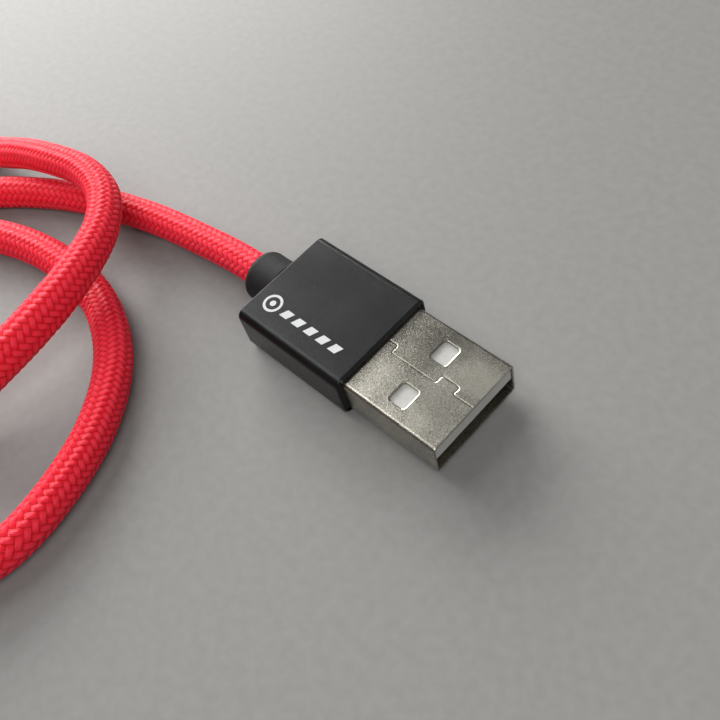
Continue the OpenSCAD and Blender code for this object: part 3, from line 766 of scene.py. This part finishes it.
# ------------------------------------------------------------------ strap round the coil
def strap_mesh():
    """A woven strap wound once round the bundle, its free end lapped over the top."""
    cx = COIL_AT[0] - COIL_R + 0.2
    cy = COIL_AT[1]
    half = 4.5
    # path in the x-z plane, round the bundle; the second lap lies outside the first over the top
    def ring_path(off, r):
        return [(cx + p[0], D + p[1]) for p in rr(8.2 + 2 * off, 7.8 + 2 * off, r + off, 7)]
    base = ring_path(0.0, 1.5)         # middle line of the 0.8 mm strap
    n = len(base)
    start = 3 * n // 4 + 2             # begins low on the outer side
    pts = [base[(start + k) % n] for k in range(n)]
    pts = [np.array(p) for p in pts]
    lap = [np.array(p) for p in ring_path(0.62, 1.5)]
    extra = [lap[(start + k) % n] for k in range(2 * n // 4 + 9)]
    line = pts + extra
    # ease from the first lap to the second
    k0 = len(pts)
    for k in range(4):
        f = (k + 1) / 5
        j = (start + k) % n
        line[k0 + k] = np.array(base[j]) * (1 - f) + lap[j] * f
    dense = []
    for p, q in zip(line[:-1], line[1:]):
        m = max(1, int(np.linalg.norm(q - p) / 0.45))
        for s in range(m):
            dense.append(p + (q - p) * s / m)
    dense.append(line[-1])
    L = np.array(dense)
    arc_l = np.r_[0, np.cumsum(np.linalg.norm(np.diff(L, axis=0), axis=1))]
    keep = np.r_[True, np.diff(arc_l) > 1e-6]
    L, arc_l = L[keep], arc_l[keep]
    Tn = np.gradient(L, axis=0)
    Tn /= np.linalg.norm(Tn, axis=1)[:, None] + 1e-12
    Nn = np.stack([Tn[:, 1], -Tn[:, 0]], 1)
    ctr = np.array([cx, D])
    if ((L - ctr) * Nn).sum() < 0:
        Nn = -Nn
    across = 12
    verts, faces, uv = [], [], []
    prof = []
    for k in range(across + 1):
        y = -half + 2 * half * k / across
        prof.append((y, 0.5))
    for k in range(across + 1):
        y = half - 2 * half * k / across
        prof.append((y, -0.5))
    m = len(prof)
    for i, p in enumerate(L):
        s = arc_l[i]
        thick = 0.62
        endf = step((arc_l[-1] - s) / 0.5) * step(s / 0.5)
        for k, (y, o) in enumerate(prof):
            edge = 1.0 - 0.55 * step((abs(y) - half + 0.5) / 0.5)
            tt = thick * edge * (0.35 + 0.65 * endf)
            wob = 0.035 * math.sin(s * 1.9 + y * 0.4) * (1 if abs(y) > half - 0.6 else 0.4)
            q = p + Nn[i] * (o * tt)
            verts.append((q[0], cy + y + (wob if abs(y) > half - 0.6 else 0.0), q[1]))
            uv.append((s, y))
    for i in range(len(L) - 1):
        for k in range(m):
            k2 = (k + 1) % m
            faces.append((i * m + k, i * m + k2, (i + 1) * m + k2, (i + 1) * m + k))
    faces.append(tuple(range(m - 1, -1, -1)))
    faces.append(tuple((len(L) - 1) * m + k for k in range(m)))
    me = mesh_from("coil_strap_cloth", verts, faces)
    layer = me.uv_layers.new(name="Weave")
    for lp in me.loops:
        layer.data[lp.index].uv = uv[lp.vertex_index]
    for p in me.polygons:
        p.use_smooth = True
    return me


strap = piece("coil_strap_cloth", strap_mesh(), "strap_cloth", replaces=("coil_strap",))


# ------------------------------------------------------------------ plugs
def sleeve_mesh(x0, x1, w, name, y0=0.0, z0=None):
    st = [(x0, WALL - 0.02), (x0, 0.16), (x0 + 0.05, 0.06), (x0 + 0.16, 0.0), (x1 - 0.17, 0.0), (x1 - 0.03, 0.13), (x1, 0.17), (x1, WALL - 0.05),
          (x1 - 0.05, WALL), (x0 + 0.05, WALL)]
    w_, h_, r_ = w, SH, EDGE
    v, f = tube_rr(st, w_, h_, r_, y0=y0, z0=z0, n=12, closed=True)
    me = mesh_from(name, v, f)
    n = 4 * 13
    for p in me.polygons:
        p.use_smooth = True
        k = p.index // n
        if k in (4, 5):
            p.material_index = 1
    return shaped(me, bevel=0.0)


def collar_profile(x_rear, x_end):
    rad = 3.0
    prof = [(x_rear + 0.35, 2.05), (x_rear + 0.35, 2.5), (x_rear + 0.02, 2.55), (x_rear + 0.02, 2.86), (x_rear - 0.04, 2.95), (x_rear - 0.14, rad)]
    prof += [(x_rear - 1.4, rad), (x_rear - 2.4, rad - 0.01)]
    prof += [(x, r) for x, r in reversed([(p[0], p[1]) for p in arc(x_end + 0.9, rad - 0.9, 0.9, 180 - 8, 90, 10)])]
    prof += [(x_end + 0.02, 2.16), (x_end + 0.12, 2.06), (x_end + 0.5, 2.02)]
    return prof


def strain_relief_mesh(x_rear, x_end, x_wire, w, y0, name, z0=None):
    body = tube_rr([(x_rear + 0.3, 0.12), (x_rear + 0.2, 0.22)][::-1] + [(x_rear + 0.33, 0.02), (x_wire - 0.1, 0.02), (x_wire, 0.12)],
                   w - 2 * WALL, SH - 2 * WALL, EDGE - WALL, y0=y0, z0=z0, closed=False)
    col = lathe(collar_profile(x_rear, x_end), y0=y0, z0=z0, closed=True, n=72)
    v, f = merge([body, col])
    return shaped(mesh_from(name, v, f))


def usb_a():
    sleeve = piece("usb_a_sleeve", sleeve_mesh(X_REAR, X_FRONT, SW, "usb_a_sleeve"), "sleeve_metal", replaces=("sleeve",),
                   mats=[MATS["sleeve_metal"], MATS["machined_edge"]])
    piece("usb_a_collar", strain_relief_mesh(X_REAR, X_END - 0.2, X_WIRE, SW, 0.0, "usb_a_collar"), "soft_black", replaces=("strain_relief",))
    # inner mould: fills the front of the sleeve round the shell
    cw, ch, cr = SW - 2 * WALL - 0.04, SH - 2 * WALL - 0.04, EDGE - WALL
    outer = [(X_SHELL - 1.2, 0.12), (X_SHELL - 1.1, 0.0), (X_FRONT - 0.23, 0.0), (X_FRONT - 0.15, 0.06)]
    rings = [[(x, p[0], ZC + p[1]) for p in rr(cw - 2 * i, ch - 2 * i, cr - i, 10)] for x, i in outer]
    hole = [(X_FRONT - 0.15, -0.02), (X_FRONT - 0.24, 0.0), (X_SHELL - 1.2, 0.0)]
    rings += [[(x, p[0], ZC + p[1]) for p in rr(HW + 0.03 - 2 * i, HH + 0.03 - 2 * i, 0.5, 10)] for x, i in hole]
    v, f = loft(rings, closed=True)
    piece("usb_a_inner_mould", shaped(mesh_from("usb_a_inner_mould", v, f)), "black_plastic", replaces=("inner_mould",))

    # shell: folded sheet with its locked seam on top and four windows
    st = [(X_SHELL, 0.02), (X_SHELL + 0.02, 0.0), (X_MOUTH - 0.1, 0.0), (X_MOUTH - 0.03, 0.03), (X_MOUTH, 0.1), (X_MOUTH, 0.24), (X_MOUTH - 0.04, SHEET - 0.01), (X_MOUTH - 0.12, SHEET), (X_SHELL, SHEET)]
    v, f = tube_rr(st, HW, HH, 0.5, n=8, closed=True)
    shell = mesh_from("usb_a_shell", v, f)
    cuts = []
    wl, ww, wr = 2.1, 2.5, 0.38
    roll, dip = 0.11, 0.038            # stamped edges are drawn down over this width and depth
    for y in (-3.07, 3.07):
        rings = []
        for z, grow in ((HH / 2 + 0.4, roll + roll * 0.4 / dip), (HH / 2, roll), (HH / 2 - dip, 0.0), (-HH / 2 + dip, 0.0), (-HH / 2, roll), (-HH / 2 - 0.4, roll + roll * 0.4 / dip)):
            rings.append([(X_FRONT + 5.85 + p[0], y + p[1], ZC + z) for p in rr(wl + 2 * grow, ww + 2 * grow, wr + grow, 8)])
        cuts.append(mesh_from("window", *loft(rings)))
    # seam: a narrow slit along a line with rounded, slightly dovetailed steps
    g = 0.03
    line = [(X_SHELL - 1, 0.94), (X_FRONT + 1.22, 0.94), (X_FRONT + 1.40, 0.84), (X_FRONT + 1.46, 0.65), (X_FRONT + 1.42, 0.08), (X_FRONT + 1.52, -0.08), (X_FRONT + 1.72, -0.12),
            (X_FRONT + 7.12, -0.12), (X_FRONT + 7.30, -0.06), (X_FRONT + 7.38, 0.12), (X_FRONT + 7.34, 0.62), (X_FRONT + 7.42, 0.82), (X_FRONT + 7.62, 0.88),
            (X_FRONT + 9.34, 0.88), (X_FRONT + 9.56, 0.80), (X_FRONT + 9.66, 0.61), (X_FRONT + 9.54, 0.10), (X_FRONT + 9.60, -0.06), (X_FRONT + 9.80, -0.12), (X_MOUTH + 1, -0.14)]
    sm = smooth_seam(line)
    # long straight stretches need few points
    turn = np.abs(np.gradient(np.unwrap(np.arctan2(*np.gradient(sm, axis=0).T[::-1]))))
    L = sm[[k for k in range(len(sm)) if turn[k] > 0.004 or k % 25 == 0 or k == len(sm) - 1]]
    Tn = np.gradient(L, axis=0)
    Tn /= np.linalg.norm(Tn, axis=1)[:, None]
    Nn = np.stack([-Tn[:, 1], Tn[:, 0]], 1)
    # one strip of quads per face of the cutter: narrow and straight below, flared above the drawn-down edges
    rows = []
    for p, nn in zip(L, Nn):
        rows.append([(p[0] + nn[0] * w_, p[1] + nn[1] * w_, ZC + HH / 2 + z_) for w_, z_ in ((-g, -0.26), (g, -0.26), (g, -0.027), (g + 0.09, 0.001), (g + 0.09, 0.06), (-g - 0.09, 0.06), (-g - 0.09, 0.001), (-g, -0.027))])
    cuts.append(mesh_from("seam", *loft(rows)))
    piece("usb_a_shell", shaped(shell, cuts=cuts, bevel=0.03, seg=2, angle=40, sharp=15), "nickel_steel", replaces=("shell",))

    # insulator: the tongue over the contacts and the block behind them
    iw = HW - 2 * SHEET - 0.04
    body = prism([(X_SHELL + 0.05, ZC - 1.93), (X_MOUTH - 11.8, ZC - 1.93), (X_MOUTH - 11.8, ZC + 0.0), (X_MOUTH - 0.15, ZC + 0.0), (X_MOUTH - 0.15, ZC + 1.93), (X_SHELL + 0.05, ZC + 1.93)], -iw / 2, iw / 2, "y")
    cuts = []
    pins = (-3.5, -1, 1, 3.5)
    for p in pins:
        x1 = X_MOUTH - (1.1 if abs(p) > 2 else 2.1)
        cuts.append(mesh_from("slot", *block(X_SHELL - 1, x1, p - 0.52, p + 0.52, ZC - 0.3, ZC + 0.27)))
    piece("usb_a_insulator", shaped(mesh_from("usb_a_insulator", *body), cuts=cuts, bevel=0.07, seg=2, angle=35), "white_plastic", replaces=("insulator",))
    # contacts: flat leaves that turn up into the tongue at their tips
    for p, node in zip(pins, ("ground_contact", "data_minus_contact", "data_plus_contact", "vbus_contact")):
        x0, x1 = X_SHELL - 1.65, X_MOUTH - (1.15 if abs(p) > 2 else 2.15)
        prof = [(x0, ZC - 0.02), (x0 + 0.3, ZC - 0.04), (x1 - 0.75, ZC - 0.04)] + arc(x1 - 0.45, ZC + 0.26, 0.30, 270, 360, 5)[0:6] + [(x1 - 0.5, ZC + 0.26), (x0, ZC + 0.26)]
        piece(node + "_leaf", shaped(mesh_from(node, *prism(prof, p - 0.5, p + 0.5, "y")), bevel=0.035, seg=2, angle=35), "gold_contact", replaces=(node,))
    return sleeve


def smooth_seam(line, gap=0.03, sigma=0.075):
    """The seam's corners rounded by a narrow average along the line."""
    P = np.array(line, float)
    s = np.r_[0, np.cumsum(np.linalg.norm(np.diff(P, axis=0), axis=1))]
    q = np.linspace(0, s[-1], int(s[-1] / gap))
    D_ = np.stack([np.interp(q, s, P[:, k]) for k in (0, 1)], 1)
    r = int(4 * sigma / gap)
    kern = np.exp(-0.5 * (np.arange(-r, r + 1) * gap / sigma) ** 2)
    kern /= kern.sum()
    ends = np.vstack([D_[:1] - (D_[1] - D_[0]) * np.arange(r, 0, -1)[:, None], D_, D_[-1:] + (D_[-1] - D_[-2]) * np.arange(1, r + 1)[:, None]])
    return np.stack([np.convolve(ends[:, k], kern, "valid") for k in (0, 1)], 1)


usb_a()


def print_mark():
    """A plain printed ornament, a ring with a dot and a row of bars, where such plugs carry a mark."""
    z0, z1 = SH + 0.0005, SH + 0.012
    parts = []
    def ring_(cx, cy, r0, r1, n=36):
        v, f = [], []
        for r, z in ((r1, z0), (r1, z1), (r0, z1), (r0, z0)):
            v += [(cx + r * math.cos(2 * math.pi * k / n), cy + r * math.sin(2 * math.pi * k / n), z) for k in range(n)]
        for a in range(4):
            b = (a + 1) % 4
            f += [(a * n + k, a * n + (k + 1) % n, b * n + (k + 1) % n, b * n + k) for k in range(n)]
        return v, f
    cx, cy = -9.2, -3.35
    parts.append(ring_(cx, cy, 0.84, 1.14))
    parts.append(prism([(cx + 0.36 * math.cos(2 * math.pi * k / 24), cy + 0.36 * math.sin(2 * math.pi * k / 24)) for k in range(24)], z0, z1))
    x, cy = -7.55, -3.5
    for k in range(5):
        s = 0.42
        parts.append(prism([(x, cy - 0.5), (x + 1.05, cy - 0.5), (x + 1.05 + s, cy + 0.5), (x + s, cy + 0.5)], z0, z1))
        x += 1.82
    v, f = merge(parts)
    me = mesh_from("sleeve_print", v, f)
    return me


piece("sleeve_print", print_mark(), "white_plastic", mats=[MATS["print_ink"]])


def micro_b():
    y0 = MY
    got = []
    got.append(piece("micro_b_sleeve", sleeve_mesh(MX_REAR, MX_FRONT, MW, "micro_b_sleeve", y0, MZ), "sleeve_metal", replaces=("micro_sleeve",),
                     mats=[MATS["sleeve_metal"], MATS["machined_edge"]]))
    got.append(piece("micro_b_collar", strain_relief_mesh(MX_REAR, M_X, MX_WIRE, MW, y0, "micro_b_collar", z0=MZ), "soft_black", replaces=("micro_strain_relief",)))

    def outline(o, y_c=y0):
        pts = [(-3.425 - o, 0.9 + o), (3.425 + o, 0.9 + o), (3.425 + o, -0.15 - o * 0.41), (2.675 + o * 0.41, -0.9 - o), (-2.675 - o * 0.41, -0.9 - o), (-3.425 - o, -0.15 - o * 0.41)]
        # corners rounded
        res = []
        n = len(pts)
        for k in range(n):
            a, b, c = (np.array(pts[(k + d) % n]) for d in (-1, 0, 1))
            rr_ = 0.28 + o * 0.6
            u, v = (a - b) / np.linalg.norm(a - b), (c - b) / np.linalg.norm(c - b)
            p, q = b + u * rr_, b + v * rr_
            for s in range(6):
                t = s / 5
                res.append(tuple((1 - t) ** 2 * p + 2 * t * (1 - t) * b + t * t * q))
        return [(y_c + p[0], MZ + p[1]) for p in res][::-1]

    def ring(x, o):
        return [(x, p[0], p[1]) for p in outline(o)]

    # inner mould round the shell
    cw, ch, cr = MW - 2 * WALL - 0.04, SH - 2 * WALL - 0.04, EDGE - WALL
    outer = [(MX_WIRE + 0.05, 0.1), (MX_WIRE + 0.15, 0.0), (MX_FRONT - 0.23, 0.0), (MX_FRONT - 0.15, 0.06)]
    base = tube_rr(outer, cw, ch, cr, y0=y0, z0=MZ, n=10, closed=False)
    cut = loft([ring(MX_FRONT - 4.02, 0.02), ring(MX_FRONT + 1, 0.02)])
    pocket = block(MX_WIRE - 1, MX_FRONT - 3.8, y0 - 2.6, y0 + 2.6, MZ - 1.3, MZ + 1.5)
    got.append(piece("micro_b_inner_mould", shaped(mesh_from("micro_b_inner_mould", *base), cuts=[mesh_from("c1", *cut), mesh_from("c2", *pocket)], bevel=0.04, seg=2, angle=50),
                     "black_plastic", replaces=("micro_inner_mould",)))
    # shell
    st = [(MX_FRONT - 4, 0.0), (MX_MOUTH - 0.08, 0.0), (MX_MOUTH - 0.02, -0.03), (MX_MOUTH, -0.09), (MX_MOUTH, -0.18), (MX_MOUTH - 0.04, -0.24), (MX_MOUTH - 0.1, -0.25), (MX_FRONT - 4, -0.25)]
    v, f = loft([ring(x, o) for x, o in st], closed=True)
    cuts = []
    for s in (-1, 1):
        yc = y0 + s * 2.25
        cuts.append(mesh_from("slot", *prism([(MX_MOUTH - 2.05 + p[0], yc + p[1]) for p in rr(2.3, 0.72, 0.12, 3)], MZ - 2, MZ - 0.5)))
    got.append(piece("micro_b_shell", shaped(mesh_from("micro_b_shell", v, f), cuts=cuts, bevel=0.035, seg=2, angle=40), "nickel_steel", replaces=("micro_shell",)))
    # insulator tongue and its five contacts
    top = MZ + 0.9 - 0.27
    tongue = prism([(MX_FRONT - 4, top - 0.6), (MX_FRONT - 3.9, MZ - 0.9 + 0.27), (MX_FRONT + 0.3, MZ - 0.9 + 0.27), (MX_FRONT + 0.3, top - 0.6), (MX_MOUTH - 0.45, top - 0.6), (MX_MOUTH - 0.2, top - 0.45),
                    (MX_MOUTH - 0.2, top), (MX_FRONT - 4, top)], y0 - 1.75, y0 + 1.75, "y")
    cuts = [mesh_from("slot", *block(MX_FRONT - 5, MX_MOUTH - 0.7, y0 + 0.65 * i - 0.2, y0 + 0.65 * i + 0.2, top - 0.9, top - 0.38)) for i in range(-2, 3)]
    got.append(piece("micro_b_insulator", shaped(mesh_from("micro_b_insulator", *tongue), cuts=cuts, bevel=0.04, seg=2, angle=35), "black_plastic", replaces=("micro_insulator",)))
    parts = []
    for i in range(-2, 3):
        x0, x1 = MX_FRONT - 4.9, MX_MOUTH - 0.75
        prof = [(x0, top - 0.66), (x1 - 0.45, top - 0.66)] + arc(x1 - 0.24, top - 0.42, 0.24, 270, 360, 4) + [(x0, top - 0.40)]
        parts.append(prism(prof, y0 + 0.65 * i - 0.18, y0 + 0.65 * i + 0.18, "y"))
    got.append(piece("micro_b_contacts", shaped(mesh_from("micro_b_contacts", *merge(parts)), bevel=0.025, seg=2, angle=35), "gold_contact", replaces=("micro_contacts",)))
    # sprung latches, one on each body
    for s, side in ((1, "left"), (-1, "right")):
        yc = y0 + s * 2.25
        b = MZ - 0.9
        prof = [(MX_FRONT - 3.2, b + 0.29), (MX_MOUTH - 2.95, b + 0.29), (MX_MOUTH - 2.8, b + 0.24), (MX_MOUTH - 2.5, b - 0.26), (MX_MOUTH - 2.4, b - 0.32), (MX_MOUTH - 2.15, b - 0.32),
                (MX_MOUTH - 2.0, b - 0.26), (MX_MOUTH - 1.4, b + 0.22), (MX_MOUTH - 1.2, b + 0.29), (MX_MOUTH - 0.9, b + 0.29), (MX_MOUTH - 0.9, b + 0.51), (MX_FRONT - 3.2, b + 0.51)]
        got.append(piece("micro_b_latch_" + side, shaped(mesh_from("latch", *prism(prof, yc - 0.25, yc + 0.25, "y")), bevel=0.04, seg=2, angle=35), "spring_steel",
                         body="latch_" + side, replaces=("micro_latch_" + side,)))
    return got


far_plug = micro_b()

# ------------------------------------------------------------------ CAD nodes that stay: materials by their node name
record = frame["record"]
for name, obj in frame["nodes"].items():
    if obj.hide_render:
        continue
    info = {
        "cable_clamp": "tinned_steel", "micro_cable_clamp": "tinned_steel",
        "red_wire": "red_insulation", "white_wire": "white_insulation", "green_wire": "green_insulation", "black_wire": "black_insulation",
        "micro_red_wire": "red_insulation", "micro_white_wire": "white_insulation", "micro_green_wire": "green_insulation", "micro_black_wire": "black_insulation",
    }.get(name, "black_plastic")
    if len(obj.material_slots) == 0:
        obj.data.materials.append(MATS[info])
    for s in obj.material_slots:
        s.material = MATS[info]

# ------------------------------------------------------------------ floor and light
def floor():
    me = bpy.data.meshes.new("floor")
    me.from_pydata([(-3, -3, -0.00002), (3, -3, -0.00002), (3, 3, -0.00002), (-3, 3, -0.00002)], [], [(0, 1, 2, 3)])
    o = bpy.data.objects.new("floor", me)
    scene.collection.objects.link(o)
    m = Mat("pale_floor", rough=0.55, spec=0.3)
    n = m.noise(900, 2.0, 0.5)
    m.colour(m.ramp(n, [(0.3, (0.205, 0.203, 0.197)), (0.7, (0.225, 0.223, 0.217))]))
    me.materials.append(m.mat)


floor()


def area(name, at, aim, size, size_y, power, colour=(1, 1, 1)):
    d = bpy.data.lights.new(name, "AREA")
    d.shape = "RECTANGLE"
    d.size, d.size_y = size, size_y
    d.energy = power
    d.color = colour
    o = bpy.data.objects.new(name, d)
    scene.collection.objects.link(o)
    o.location = at
    o.rotation_euler = (Vector(aim) - Vector(at)).to_track_quat("-Z", "Y").to_euler()
    return o


def polar(az, el, r):
    a, e = math.radians(az), math.radians(el)
    return (r * math.cos(e) * math.cos(a), r * math.cos(e) * math.sin(a), r * math.sin(e))


area("window", polar(162, 22, 0.95), (-0.02, -0.01, 0), 0.85, 0.38, 16.5, (1.0, 0.99, 0.97))
area("key", polar(187, 50, 0.95), (-0.03, -0.02, 0), 0.55, 0.5, 3.5, (1.0, 0.99, 0.98))
area("right_fill", polar(50, 40, 1.0), (-0.02, -0.01, 0), 0.7, 0.5, 1.2, (0.97, 0.98, 1.0))
area("front_fill", polar(-42, 55, 1.1), (-0.02, -0.01, 0), 0.8, 0.6, 6.8, (1.0, 0.98, 0.96))
world = bpy.data.worlds.new("studio")
world.use_nodes = True
world.node_tree.nodes["Background"].inputs[0].default_value = (0.80, 0.81, 0.82, 1)
world.node_tree.nodes["Background"].inputs[1].default_value = 0.13
scene.world = world
